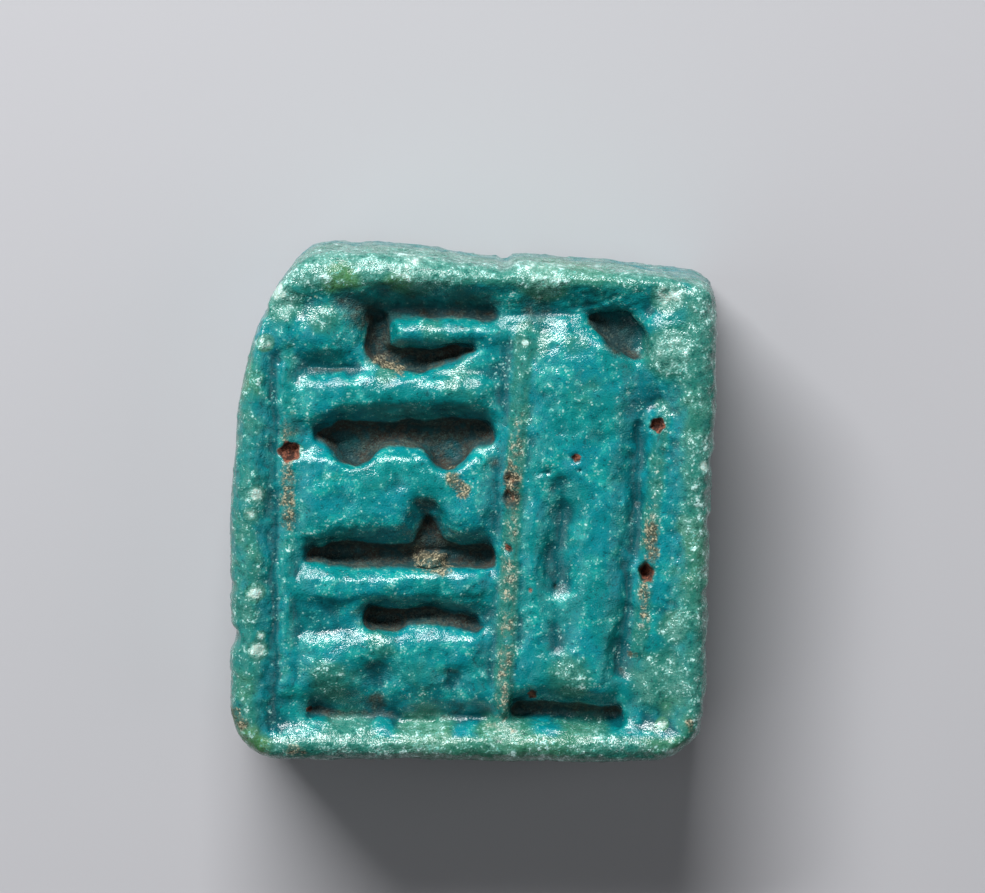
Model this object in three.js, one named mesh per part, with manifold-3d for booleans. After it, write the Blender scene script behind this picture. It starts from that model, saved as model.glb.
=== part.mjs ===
// A near-square stamp seal amulet of moulded, glazed faience, lying on its back with its
// stamping face up. Millimetres: X runs across the face, Y runs up it and Z stands out of it.
// The origin is on the flat back, below the middle of the seal.
import * as THREE from "three";
import { mergeVertices } from "three/addons/utils/BufferGeometryUtils.js";
import Module from "manifold-3d";

const wasm = await Module();
wasm.setup();

// The plaque
const thickness = 5;
const edgeRoundAcross = 0.5;
const edgeRoundDeep = 0.8;
const edgeRoundSteps = 3;
const cornerSteps = 5;
const glaze = { color: 0x16908f, roughness: 0.35, metalness: 0 };

// The string hole, drilled from side to side, with mouths that the glaze has rounded
const holeRadius = 0.8;
const holeMouthRadius = 1.15;
const holeMouthDepth = 0.6;
const holeMouthAt = 6.1;
const holeUpTheFace = 0.4;
const holeAboveBack = 2.2;
const holeSides = 20;

// The sunk face inside the rim. Each side's bank is the width of the rim's inner slope.
const faceDepth = 0.35;
const rimSides = [
  { name: "left", at: [-5.3, 0], inward: [1, 0.005], bank: 0.6 },
  { name: "right", at: [5.35, 0], inward: [-1, 0.02], bank: 1 },
  { name: "top", at: [0, 5.6], inward: [0.03, -1], bank: 0.8 },
  { name: "bottom", at: [0, -5.8], inward: [0, 1], bank: 0.5 },
];

// Sunk strokes. A stroke's banks are the widths of its slopes: the first bank is on its left
// as it runs from its first point to its second, which is above a stroke that runs to the right.
const deep = 1.15;
const strokes = [
  // Below the top rim, over both columns
  { from: [-2.4, 4.98], to: [1.0, 4.9], width: 0.25, depth: 0.85, banks: [0.8, 0.4] },
  { from: [1.0, 4.9], to: [3.2, 4.95], width: 0.2, depth: 0.7, banks: [0.7, 0.4] },
  // First row of the left column
  { from: [-2.4, 4.9], to: [-2.3, 4.1], width: 0.4, depth: deep, banks: [0.4, 0.6] },
  { from: [-1.95, 3.85], to: [-0.1, 3.98], width: 0.36, depth: deep, banks: [0.4, 0.4] },
  { from: [-4.2, 3.72], to: [-3.0, 3.72], width: 0.15, depth: 0.5, banks: [0.6, 0.45] },
  // Second row
  { from: [-3.7, 1.75], to: [0.5, 1.8], width: 0.45, depth: deep, banks: [0.8, 0.4] },
  { from: [-3.05, 1.5], to: [-2.8, 1.3], width: 0.45, depth: deep, banks: [0.4, 0.45] },
  { from: [-0.65, 1.5], to: [-0.45, 1.25], width: 0.4, depth: deep, banks: [0.4, 0.45] },
  // Third row
  { from: [-4.2, -1.25], to: [0.35, -1.28], width: 0.36, depth: deep, banks: [0.55, 0.35] },
  { from: [-1.1, -1.0], to: [-1.12, -0.3], width: 0.25, depth: 0.95, banks: [0.45, 0.45] },
  // Fourth row
  { from: [-2.65, -2.78], to: [0.0, -2.85], width: 0.34, depth: deep, banks: [0.6, 0.4] },
  // Fifth row, above the bottom rim
  { from: [-4.1, -5.3], to: [-2.9, -5.35], width: 0.25, depth: 0.95, banks: [0.9, 0.35] },
  { from: [-1.95, -5.48], to: [-0.95, -5.5], width: 0.3, depth: 1.05, banks: [0.9, 0.35] },
  { from: [-0.35, -5.35], to: [0.35, -5.35], width: 0.25, depth: 0.8, banks: [0.9, 0.35] },
  { from: [-2.45, -4.2], to: [-2.5, -5.1], width: 0.15, depth: 0.7, banks: [0.7, 0.6] },
  { from: [-0.5, -4.5], to: [-0.5, -5.1], width: 0.1, depth: 0.55, banks: [0.5, 0.5] },
  // Right column
  { from: [3.4, 4.55], to: [4.05, 4.0], width: 0.45, depth: deep, banks: [0.45, 0.4] },
  { from: [1.65, 0.95], to: [2.05, 0.9], width: 0.15, depth: 0.6, banks: [0.35, 0.35] },
  { from: [2.15, 0.75], to: [2.1, -3.3], width: 0.12, depth: 0.65, banks: [0.45, 0.45] },
  { from: [4.3, 2.2], to: [3.85, -3.9], width: 0.14, depth: 0.75, banks: [0.35, 0.7] },
  { from: [1.2, -5.32], to: [3.7, -5.42], width: 0.36, depth: deep, banks: [0.5, 0.35] },
  // Grooves beside the frame line and the divider
  { from: [-5.05, 3.6], to: [-5.07, -4.7], width: 0.12, depth: 0.6, banks: [0.35, 0.35] },
  { from: [0.86, 4.4], to: [0.7, 2.2], width: 0.12, depth: 0.65, banks: [0.35, 0.6] },
  { from: [0.7, 2.2], to: [0.33, -4.9], width: 0.1, depth: 0.5, banks: [0.35, 0.6] },
];

// Thin raised lines: one each side of the face and the divider between its two columns
const ridges = [
  { from: [-4.6, 4.5], to: [-4.72, -4.8], width: 0.36, height: 0.18 },
  { from: [1.27, 4.5], to: [0.7, -5.2], width: 0.4, height: 0.2 },
  { from: [4.76, 2.6], to: [4.12, -4.9], width: 0.38, height: 0.18 },
];

// The raised forms between the strokes swell a little: each is centre, half size and swell.
const swells = [
  { at: [-3.6, 4.5], half: [0.85, 0.85], height: 0.2 },
  { at: [-1.8, 3.0], half: [2.7, 0.9], height: 0.2 },
  { at: [-1.9, 0.2], half: [2.5, 1.1], height: 0.18 },
  { at: [-1.9, -2.0], half: [2.4, 0.6], height: 0.16 },
  { at: [-3.6, -4.3], half: [1, 1.1], height: 0.2 },
  { at: [-1.4, -4.4], half: [0.9, 1.2], height: 0.18 },
  { at: [2.9, 2.6], half: [1.5, 2.2], height: 0.16 },
  { at: [3.0, -2.0], half: [0.85, 3], height: 0.18 },
];

// The block that the face's relief is formed on is larger than the plaque on every other side.
const blockSide = [12.92, 13.68];
const sampleStep = 0.19;
const blockBelow = 1;
const slabAbove = 0.06;

function smoothStep(value) {
  return THREE.MathUtils.smoothstep(value, 0, 1);
}

// How far a point is from a line between two points, how far along it, and on which side:
// 1 is square to its left and -1 square to its right.
function beside(line, x, y) {
  const [fromX, fromY] = line.from;
  const runX = line.to[0] - fromX;
  const runY = line.to[1] - fromY;
  const length = Math.hypot(runX, runY);
  const along = THREE.MathUtils.clamp(((x - fromX) * runX + (y - fromY) * runY) / length ** 2, 0, 1);
  const offX = x - fromX - along * runX;
  const offY = y - fromY - along * runY;
  const away = Math.hypot(offX, offY);
  const side = away > 0 ? (runX * offY - runY * offX) / (length * away) : 0;
  return { away, side };
}

function strokeDepth(stroke, x, y) {
  const { away, side } = beside(stroke, x, y);
  const bank = THREE.MathUtils.lerp(stroke.banks[1], stroke.banks[0], (side + 1) / 2);
  return stroke.depth * (1 - smoothStep((away - stroke.width / 2) / bank));
}

function ridgeHeight(ridge, x, y) {
  return ridge.height * (1 - smoothStep(beside(ridge, x, y).away / ridge.width));
}

function swellHeight(swell, x, y) {
  const away = Math.hypot((x - swell.at[0]) / swell.half[0], (y - swell.at[1]) / swell.half[1]);
  return swell.height * (1 - smoothStep(away));
}

// How far inside the rim a point is: 0 on the rim and 1 on the face
function insideRim(x, y) {
  return rimSides.reduce((share, { at, inward, bank }) => {
    const [inX, inY] = inward;
    const past = ((x - at[0]) * inX + (y - at[1]) * inY) / Math.hypot(inX, inY);
    return share * smoothStep(past / bank);
  }, 1);
}

function faceHeight(x, y) {
  const inside = insideRim(x, y);
  const cut = Math.max(inside * faceDepth, ...strokes.map((stroke) => strokeDepth(stroke, x, y)));
  const raised = [
    ...ridges.map((ridge) => ridgeHeight(ridge, x, y)),
    ...swells.map((swell) => swellHeight(swell, x, y)),
  ];
  return thickness - cut + inside * Math.max(...raised);
}

// The outline, anticlockwise from the bottom left corner. The top left corner is worn away in
// a long slope, and the top edge has a small step right of its middle.
function outline() {
  const shape = new THREE.Shape();
  shape.moveTo(-5.45, -6.46);
  shape.lineTo(4.75, -6.52);
  shape.quadraticCurveTo(5.75, -6.5, 5.92, -5.5);
  shape.lineTo(6.02, 0.2);
  shape.lineTo(6.18, 5.05);
  shape.quadraticCurveTo(6.2, 5.72, 5.55, 5.8);
  shape.lineTo(1.15, 6.22);
  shape.lineTo(0.85, 6.12);
  shape.lineTo(-0.2, 6.2);
  shape.quadraticCurveTo(-1.2, 6.5, -3.6, 6.55);
  shape.quadraticCurveTo(-4.1, 6.55, -4.45, 6.2);
  shape.quadraticCurveTo(-5.6, 5, -5.95, 2.4);
  shape.lineTo(-6.12, -1);
  shape.lineTo(-6.16, -5.4);
  shape.quadraticCurveTo(-6.25, -6.4, -5.45, -6.46);
  return shape;
}

// The plain slab with rounded edges, standing on Z = 0. Its top is a little higher than the rim,
// so that the relief makes the whole of the face.
function slab() {
  const geometry = new THREE.ExtrudeGeometry(outline(), {
    depth: thickness + slabAbove - 2 * edgeRoundDeep,
    curveSegments: cornerSteps,
    bevelThickness: edgeRoundDeep,
    bevelSize: edgeRoundAcross,
    bevelOffset: -edgeRoundAcross,
    bevelSegments: edgeRoundSteps,
  });
  return geometry.translate(0, 0, edgeRoundDeep);
}

// A block whose top is the relief of the face and which is larger than the slab everywhere else
function reliefBlock() {
  const steps = blockSide.map((side) => Math.round(side / sampleStep));
  const geometry = new THREE.BoxGeometry(...blockSide, 1, ...steps, 1);
  const place = geometry.attributes.position;
  for (let i = 0; i < place.count; i += 1) {
    const isTop = place.getZ(i) > 0;
    place.setZ(i, isTop ? faceHeight(place.getX(i), place.getY(i)) : -blockBelow);
  }
  layFoldsAlongStrokes(geometry);
  return geometry;
}

// Each square of the grid is two triangles. Where its other diagonal lies more level, that one
// becomes the fold between them, so that folds run along a slanting stroke and not across it.
function layFoldsAlongStrokes(geometry) {
  const { index } = geometry;
  const place = geometry.attributes.position;
  for (let i = 0; i < index.count; i += 6) {
    const [a, b, d] = [0, 1, 2].map((corner) => index.getX(i + corner));
    const c = index.getX(i + 4);
    const fall = Math.abs(place.getZ(b) - place.getZ(d));
    const otherFall = Math.abs(place.getZ(a) - place.getZ(c));
    if (otherFall < fall) {
      [a, b, c, a, c, d].forEach((corner, turn) => index.setX(i + turn, corner));
    }
  }
}

function stringHole() {
  const half = blockSide[0] / 2;
  const straight = holeMouthAt - holeMouthDepth;
  const profile = [
    [0, -half],
    [holeMouthRadius, -half],
    [holeMouthRadius, -holeMouthAt],
    [holeRadius, -straight],
    [holeRadius, straight],
    [holeMouthRadius, holeMouthAt],
    [holeMouthRadius, half],
    [0, half],
  ].map(([radius, along]) => new THREE.Vector2(radius, along));
  const geometry = new THREE.LatheGeometry(profile, holeSides);
  return geometry.rotateZ(-Math.PI / 2).translate(0, holeUpTheFace, holeAboveBack);
}

function solidOf(geometry) {
  geometry.deleteAttribute("normal");
  geometry.deleteAttribute("uv");
  const merged = mergeVertices(geometry);
  return new wasm.Manifold(
    new wasm.Mesh({
      numProp: 3,
      vertProperties: merged.attributes.position.array,
      triVerts: new Uint32Array(merged.index.array),
    }),
  );
}

function geometryOf(solid) {
  const { vertProperties, triVerts } = solid.getMesh();
  const geometry = new THREE.BufferGeometry();
  geometry.setAttribute("position", new THREE.BufferAttribute(vertProperties, 3));
  geometry.setIndex(new THREE.BufferAttribute(triVerts, 1));
  geometry.computeVertexNormals();
  return geometry;
}

// The seal, centred over the origin
function seal() {
  const solid = solidOf(slab()).intersect(solidOf(reliefBlock())).subtract(solidOf(stringHole()));
  const geometry = geometryOf(solid);
  geometry.computeBoundingBox();
  const middle = geometry.boundingBox.getCenter(new THREE.Vector3());
  geometry.translate(-middle.x, -middle.y, -geometry.boundingBox.min.z);
  const mesh = new THREE.Mesh(geometry, new THREE.MeshStandardMaterial(glaze));
  mesh.name = "seal";
  return mesh;
}

const amulet = new THREE.Group();
amulet.add(seal());

export default amulet;
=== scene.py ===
import math

import bpy
import numpy as np
from mathutils import Matrix, Vector


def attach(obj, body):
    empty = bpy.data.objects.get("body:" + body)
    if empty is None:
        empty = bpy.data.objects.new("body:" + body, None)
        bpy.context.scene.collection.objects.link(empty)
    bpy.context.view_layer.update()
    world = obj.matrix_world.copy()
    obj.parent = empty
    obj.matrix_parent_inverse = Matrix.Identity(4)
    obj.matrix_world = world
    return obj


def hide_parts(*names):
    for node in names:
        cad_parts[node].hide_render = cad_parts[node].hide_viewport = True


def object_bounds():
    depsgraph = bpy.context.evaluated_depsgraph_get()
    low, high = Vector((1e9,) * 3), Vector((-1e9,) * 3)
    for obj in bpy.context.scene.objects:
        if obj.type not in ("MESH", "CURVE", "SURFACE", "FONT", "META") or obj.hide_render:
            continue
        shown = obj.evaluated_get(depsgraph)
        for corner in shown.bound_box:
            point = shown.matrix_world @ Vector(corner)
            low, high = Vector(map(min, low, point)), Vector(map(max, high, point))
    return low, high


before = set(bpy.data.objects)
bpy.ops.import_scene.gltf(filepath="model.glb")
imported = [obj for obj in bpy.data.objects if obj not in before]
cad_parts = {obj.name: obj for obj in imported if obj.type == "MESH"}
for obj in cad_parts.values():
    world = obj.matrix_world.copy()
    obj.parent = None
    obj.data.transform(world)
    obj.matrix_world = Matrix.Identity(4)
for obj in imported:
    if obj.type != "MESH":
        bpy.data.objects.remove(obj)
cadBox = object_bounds()

# Everything is modelled in millimetres, in the seal's own frame: X across the face, Y up it and
# Z out of it. The finished seal is shrunk to metres at the end.
mm = 0.001
nearly = 0.01       # heights closer than this count as one


# Small helpers

def deselectAll():
    if bpy.context.object and bpy.context.object.mode != "OBJECT":
        bpy.ops.object.mode_set(mode="OBJECT")
    bpy.ops.object.select_all(action="DESELECT")


def makeActive(thing):
    deselectAll()
    thing.select_set(True)
    bpy.context.view_layer.objects.active = thing
    return thing


def applyPlace(thing):
    makeActive(thing)
    bpy.ops.object.transform_apply(location=True, rotation=True, scale=True)
    return thing


def applyModifier(thing, kind, **settings):
    makeActive(thing)
    modifier = thing.modifiers.new(kind.title(), kind)
    for name, value in settings.items():
        setattr(modifier, name, value)
    bpy.ops.object.modifier_apply(modifier=modifier.name)


def joinAll(things):
    makeActive(things[0])
    for thing in things:
        thing.select_set(True)
    bpy.ops.object.join()
    return bpy.context.object


def bevelWhere(thing, isWanted, **settings):    # isWanted looks at an edge's two ends
    makeActive(thing)
    bpy.ops.object.mode_set(mode="EDIT")
    bpy.ops.mesh.select_mode(type="EDGE")
    bpy.ops.mesh.select_all(action="DESELECT")
    bpy.ops.object.mode_set(mode="OBJECT")
    corners = thing.data.vertices
    for edge in thing.data.edges:
        edge.select = isWanted(*(corners[i].co for i in edge.vertices))
    bpy.ops.object.mode_set(mode="EDIT")
    bpy.ops.mesh.bevel(affect="EDGES", **settings)
    bpy.ops.object.mode_set(mode="OBJECT")


# A block between two outlines of as many points, the lower one at floor and the upper one at top
def makeLoft(lower, upper, floor, top):
    bpy.ops.mesh.primitive_circle_add(vertices=len(lower), radius=1, fill_type="NGON")
    block = bpy.context.object
    for corner, (x, y) in zip(block.data.vertices, lower):
        corner.co = (x, y, floor)
    bpy.ops.object.mode_set(mode="EDIT")
    bpy.ops.mesh.select_all(action="SELECT")
    bpy.ops.mesh.extrude_region_move(TRANSFORM_OT_translate={"value": (0, 0, top - floor)})
    bpy.ops.object.mode_set(mode="OBJECT")
    for corner in block.data.vertices[len(lower):]:
        nearest = min(range(len(lower)), key=lambda i: math.dist(lower[i], corner.co[:2]))
        corner.co = (*upper[nearest], top)
    bpy.ops.object.mode_set(mode="EDIT")
    bpy.ops.mesh.select_all(action="SELECT")
    bpy.ops.mesh.normals_make_consistent(inside=False)
    bpy.ops.object.mode_set(mode="OBJECT")
    return block


# The blank plaque

plaque = {
    "thickness": 5.0,
    "edgeRound": 0.62,
    "edgeSteps": 4,
    "panFloor": 4.56,                            # the face inside the rim
    "panFoot": ((-4.95, 4.7), (-5.45, 5.0)),     # where the rim's inner slope ends, across and up
    "panMouth": ((-5.5, 5.6), (-6.0, 5.85)),     # where it starts, on the rim's crest
    # Anticlockwise from the lower left corner and back to it: a point, or a curve as the point
    # that pulls it, its end and its number of steps
    "outline": [
        (-5.0, -6.44), (-2.0, -6.42), (1.5, -6.5), (4.3, -6.5),
        ((5.75, -6.45), (5.93, -5.2), 5),
        (6.0, -2.4), (6.02, 0.2), (6.17, 3.0), (6.16, 5.05),
        ((6.17, 5.74), (5.55, 5.8), 5),
        (3.4, 6.04), (1.2, 6.22), (0.85, 6.13), (-0.2, 6.2),
        ((-1.2, 6.5), (-3.6, 6.53), 5),
        ((-4.1, 6.53), (-4.45, 6.2), 3),
        ((-5.6, 5.0), (-5.95, 2.4), 5),
        (-6.14, 0.2), (-6.15, -5.0),
        ((-6.15, -6.3), (-5.0, -6.44), 6),
    ],
}


def bend(start, pull, end, steps):              # the curve's points, without start itself
    shares = [step / steps for step in range(1, steps + 1)]
    return [
        tuple((1 - t) ** 2 * a + 2 * t * (1 - t) * b + t * t * c for a, b, c in zip(start, pull, end))
        for t in shares
    ]


def plaqueOutline():
    points = []
    for stretch in plaque["outline"]:
        isCurve = isinstance(stretch[0], tuple)
        points += bend(points[-1], *stretch) if isCurve else [stretch]
    return points[:-1]


def makeBlank():
    blank = makeLoft(plaqueOutline(), plaqueOutline(), 0, plaque["thickness"])
    bevelWhere(
        blank,
        lambda a, b: abs(a.z - b.z) < nearly,
        offset=plaque["edgeRound"],
        segments=plaque["edgeSteps"],
        clamp_overlap=True,
    )
    return blank


def oblong(sides):                              # the four corners of ((x low, x high), (y low, y high))
    (xLow, xHigh), (yLow, yHigh) = sides
    return [(xLow, yLow), (xHigh, yLow), (xHigh, yHigh), (xLow, yHigh)]


def makePan():
    steep = (relief["cutterTop"] - plaque["panFloor"]) / (plaque["thickness"] - plaque["panFloor"])
    mouth = [
        tuple(foot + steep * (end - foot) for foot, end in zip(low, high))
        for low, high in zip(oblong(plaque["panFoot"]), oblong(plaque["panMouth"]))
    ]
    return makeLoft(oblong(plaque["panFoot"]), mouth, plaque["panFloor"], relief["cutterTop"])


# The relief of the face

relief = {
    "rim": plaque["thickness"],
    "cutterTop": 5.5,
    "cutterRound": 0.12,
    "cutterRoundShare": 0.4,                    # of half the width of the floor, at most
    "cutterSteps": 2,
    "cutterSides": 20,
    # Sunk strokes: two ends, width of the floor, depth below the rim, and the widths of the two
    # banks, first the left one as the stroke runs, which is the upper one on a level stroke
    "strokes": [
        ((-2.9, 5.1), (-2.3, 5.02), 0.1, 0.56, (0.6, 0.6)),       # under the top rim
        ((-2.3, 5.0), (0.5, 4.94), 0.2, 0.92, (0.7, 0.25)),
        ((0.5, 4.96), (3.2, 5.02), 0.1, 0.6, (0.8, 0.5)),
        ((-2.38, 4.8), (-2.36, 4.05), 0.34, 1.14, (0.35, 0.45)),  # first row
        ((-2.2, 3.86), (-1.25, 3.76), 0.34, 1.16, (0.3, 0.3)),
        ((-1.25, 3.76), (-0.45, 3.96), 0.22, 1.1, (0.3, 0.3)),
        ((-0.45, 3.98), (0.0, 4.06), 0.08, 0.9, (0.25, 0.25)),
        ((-4.2, 3.65), (-3.0, 3.6), 0.1, 0.62, (0.6, 0.5)),
        ((-3.9, 1.86), (-3.3, 1.82), 0.16, 0.96, (0.6, 0.25)),    # second row
        ((-3.4, 1.82), (0.3, 1.84), 0.3, 1.14, (0.85, 0.22)),
        ((-4.1, -1.2), (-3.5, -1.24), 0.2, 1.02, (0.5, 0.22)),    # third row
        ((-3.6, -1.23), (0.35, -1.3), 0.3, 1.16, (0.75, 0.2)),
        ((-2.55, -2.84), (-1.9, -2.88), 0.36, 1.14, (0.5, 0.2)),  # fourth row
        ((-1.9, -2.8), (-1.0, -2.72), 0.22, 1.02, (0.6, 0.22)),
        ((-1.0, -2.74), (0.05, -2.98), 0.24, 0.9, (0.6, 0.25)),
        ((-4.1, -5.2), (0.4, -5.42), 0.16, 0.8, (0.95, 0.3)),     # fifth row
        ((-4.05, -5.15), (-3.3, -5.4), 0.16, 0.86, (0.6, 0.25)),
        ((-3.3, -5.4), (-2.6, -5.36), 0.16, 0.88, (0.6, 0.25)),
        ((-1.95, -5.4), (-1.0, -5.46), 0.18, 0.9, (0.6, 0.25)),
        ((-0.4, -5.32), (0.35, -5.35), 0.16, 0.84, (0.5, 0.25)),
        ((-2.4, -4.3), (-2.42, -5.2), 0.16, 0.62, (0.8, 0.8)),
        ((-0.45, -4.4), (-0.48, -5.2), 0.16, 0.58, (0.6, 0.6)),
        ((1.64, 0.93), (1.98, 0.94), 0.05, 0.46, (0.15, 0.1)),    # right column
        ((2.22, 0.6), (2.2, 0.0), 0.1, 0.44, (0.7, 0.5)),
        ((2.2, 0.0), (2.12, -1.9), 0.16, 0.6, (0.85, 0.6)),
        ((2.12, -1.9), (2.1, -3.4), 0.1, 0.38, (0.8, 0.7)),
        ((4.2, 2.1), (4.15, 0.2), 0.14, 0.68, (0.6, 0.35)),
        ((4.15, 0.2), (3.75, -4.1), 0.14, 0.6, (0.75, 0.4)),
        ((1.15, -5.25), (3.6, -5.4), 0.26, 1.12, (0.75, 0.25)),
        ((-5.04, 2.9), (-5.06, -4.6), 0.08, 0.32, (0.4, 0.4)),    # beside the lines
        ((-4.34, 3.4), (-4.36, -4.6), 0.06, 0.28, (0.35, 0.5)),
        ((0.84, 4.3), (0.68, 2.2), 0.12, 0.48, (0.7, 0.4)),
        ((0.62, 2.2), (0.38, -4.9), 0.12, 0.4, (0.7, 0.4)),
    ],
    # Sunk lobes, a peak in two steps and a leaf: outline of the floor, depth below the rim, and
    # how many times as wide the mouth is
    "hollows": [
        (((-3.72, 1.8), (-3.32, 1.24), (-3.0, 1.06), (-2.7, 1.22), (-2.2, 1.8)), 1.16, 1.3),
        (((-1.35, 1.8), (-0.92, 1.16), (-0.6, 0.97), (-0.3, 1.15), (0.15, 1.8)), 1.16, 1.3),
        (((-1.42, 0.2), (-1.82, -1.15), (-0.44, -1.15), (-0.92, 0.2)), 0.58, 1.15),
        (((-1.14, -0.16), (-1.68, -1.15), (-0.54, -1.15)), 0.98, 1.4),
        (
            (
                (2.92, 4.9), (3.08, 4.58), (3.48, 4.2), (3.8, 3.94),
                (4.08, 3.8), (4.34, 3.9), (4.36, 4.4), (3.92, 4.96),
            ),
            1.02,
            1.26,
        ),
    ],
    # Raised lines: two ends, half width, how far the crest is below the rim and how pale it is
    "lines": [
        ((-4.66, 4.2), (-4.72, -4.8), 0.22, 0.22, 0.26),
        ((1.3, 4.5), (1.02, 0.5), 0.27, 0.15, 0.5),
        ((1.02, 0.5), (0.74, -5.3), 0.27, 0.15, 0.5),
        ((4.76, 2.6), (4.18, -3.7), 0.24, 0.18, 0.42),
    ],
    "lineSides": 16,
    # Raised forms between the strokes: sides, lower and upper end, how far the top is below the
    # rim, how much the form leans to the right as it goes up, and how round its edges are
    "pillows": [
        ((-2.0, 0.85), (4.1, 4.7), 0.2, 0, 0.28),
        ((-4.56, 0.66), (2.0, 3.5), 0.12, 0, 0.5),
        ((-4.56, 0.6), (-0.95, 1.5), 0.14, 0, 0.45),
        ((-4.56, 0.54), (-2.5, -1.5), 0.17, 0, 0.42),
        ((-4.56, 0.46), (-4.5, -3.05), 0.2, 0, 0.45),
        ((1.15, 4.0), (-5.0, 4.62), 0.15, 0.045, 0.6),
        ((4.55, 5.3), (-5.2, 3.4), 0.25, 0.07, 0.25),
    ],
    "pillowSteps": 4,
    # Rounded lumps: middle, half size and how far the top is below the rim
    "lumps": [
        ((-3.75, 4.5), (0.95, 0.95), 0.06),
        ((-4.7, 4.5), (0.5, 0.8), 0.08),
        ((-3.65, -4.25), (1.05, 1.05), 0.1),
        ((-1.45, -4.4), (0.95, 1.0), 0.13),
        ((0.0, -4.4), (0.5, 0.9), 0.2),
        ((2.4, 3.4), (1.2, 1.5), 0.07),
        ((2.9, -3.7), (1.0, 1.6), 0.08),
        ((1.62, -0.9), (0.5, 1.9), 0.09),
        ((1.78, 0.45), (0.36, 0.42), 0.14),
        ((5.1, 4.15), (0.95, 1.35), 0.02),
    ],
    "lumpDeep": 0.6,
    "lumpSides": 32,
    "formFoot": 4.0,                            # where the pillows start, inside the plaque
}


# The outline of a stroke that runs along X: half widths on its right, its left and at its ends
def runAlong(length, right, left, ends):
    turns = [2 * math.pi * (side + 0.5) / relief["cutterSides"] for side in range(relief["cutterSides"])]
    return [
        (
            (length if math.cos(turn) > 0 else 0) + ends * math.cos(turn),
            (left if math.sin(turn) > 0 else right) * math.sin(turn),
        )
        for turn in turns
    ]


def makeCutter(start, end, width, depth, banks):
    (xStart, yStart), (xEnd, yEnd) = start, end
    length = math.hypot(xEnd - xStart, yEnd - yStart)
    floor = relief["rim"] - depth
    rise = (relief["cutterTop"] - floor) / depth
    left, right = (bank * rise for bank in banks)
    half = width / 2
    foot = runAlong(length, half, half, half)
    mouth = runAlong(length, half + right, half + left, half + min(left, right))
    cutter = makeLoft(foot, mouth, floor, relief["cutterTop"])
    bevelWhere(
        cutter,
        lambda a, b: max(a.z, b.z) < floor + nearly,
        offset=min(relief["cutterRound"], relief["cutterRoundShare"] * half),
        segments=relief["cutterSteps"],
        clamp_overlap=True,
    )
    angle = math.atan2(yEnd - yStart, xEnd - xStart)
    cutter.data.transform(Matrix.Translation((xStart, yStart, 0)) @ Matrix.Rotation(angle, 4, "Z"))
    return cutter


def makeHollow(outline, depth, mouthShare):
    middle = [sum(values) / len(outline) for values in zip(*outline)]
    rise = (relief["cutterTop"] - relief["rim"] + depth) / depth
    grow = 1 + (mouthShare - 1) * rise
    mouth = [tuple(m + grow * (value - m) for m, value in zip(middle, point)) for point in outline]
    return makeLoft(outline, mouth, relief["rim"] - depth, relief["cutterTop"])


def makeLine(start, end, halfWidth, below, _):
    (xStart, yStart), (xEnd, yEnd) = start, end
    bpy.ops.mesh.primitive_cylinder_add(
        vertices=relief["lineSides"],
        radius=halfWidth,
        depth=math.hypot(xEnd - xStart, yEnd - yStart),
        location=((xStart + xEnd) / 2, (yStart + yEnd) / 2, relief["rim"] - below - halfWidth),
        rotation=(math.pi / 2, 0, math.atan2(yEnd - yStart, xEnd - xStart) - math.pi / 2),
    )
    return applyPlace(bpy.context.object)


def makeLump(middle, half, below):
    tall = relief["lumpDeep"]
    bpy.ops.mesh.primitive_uv_sphere_add(
        segments=relief["lumpSides"],
        ring_count=relief["lumpSides"] // 2,
        radius=1,
        location=(*middle, relief["rim"] - below - tall),
        scale=(*half, tall),
    )
    return applyPlace(bpy.context.object)


def makePillow(sides, ends, below, lean, roundness):
    corners = oblong((sides, ends))
    pillow = makeLoft(corners, corners, relief["formFoot"], relief["rim"] - below)
    bevelWhere(pillow, lambda a, b: True, offset=roundness, segments=relief["pillowSteps"])
    for corner in pillow.data.vertices:
        corner.co.x += lean * corner.co.y
    return pillow


# The string hole

stringHole = {
    "at": (0.4, 2.2),                           # up the face, and above the back
    "radius": 0.8,
    "length": 14,
    "sides": 32,
    "mouthRadii": (0.6, 1.35),                  # the worn mouths are cones, from inside outwards
    "mouthLength": 1.4,
    "mouthMiddle": 5.9,                         # out from the seal's middle
}


def makeHole():
    up, above = stringHole["at"]
    bpy.ops.mesh.primitive_cylinder_add(
        vertices=stringHole["sides"],
        radius=stringHole["radius"],
        depth=stringHole["length"],
        location=(0, up, above),
        rotation=(0, math.pi / 2, 0),
    )
    pieces = [applyPlace(bpy.context.object)]
    for side in (-1, 1):
        bpy.ops.mesh.primitive_cone_add(
            vertices=stringHole["sides"],
            radius1=stringHole["mouthRadii"][0],
            radius2=stringHole["mouthRadii"][1],
            depth=stringHole["mouthLength"],
            location=(side * stringHole["mouthMiddle"], up, above),
            rotation=(0, side * math.pi / 2, 0),
        )
        pieces.append(applyPlace(bpy.context.object))
    return joinAll(pieces)


def combine(seal, other, operation):
    applyModifier(
        seal,
        "BOOLEAN",
        operation=operation,
        object=other,
        solver="EXACT",
        use_self=True,
        use_hole_tolerant=True,
    )
    bpy.data.objects.remove(other)


# The worn surface

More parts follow.
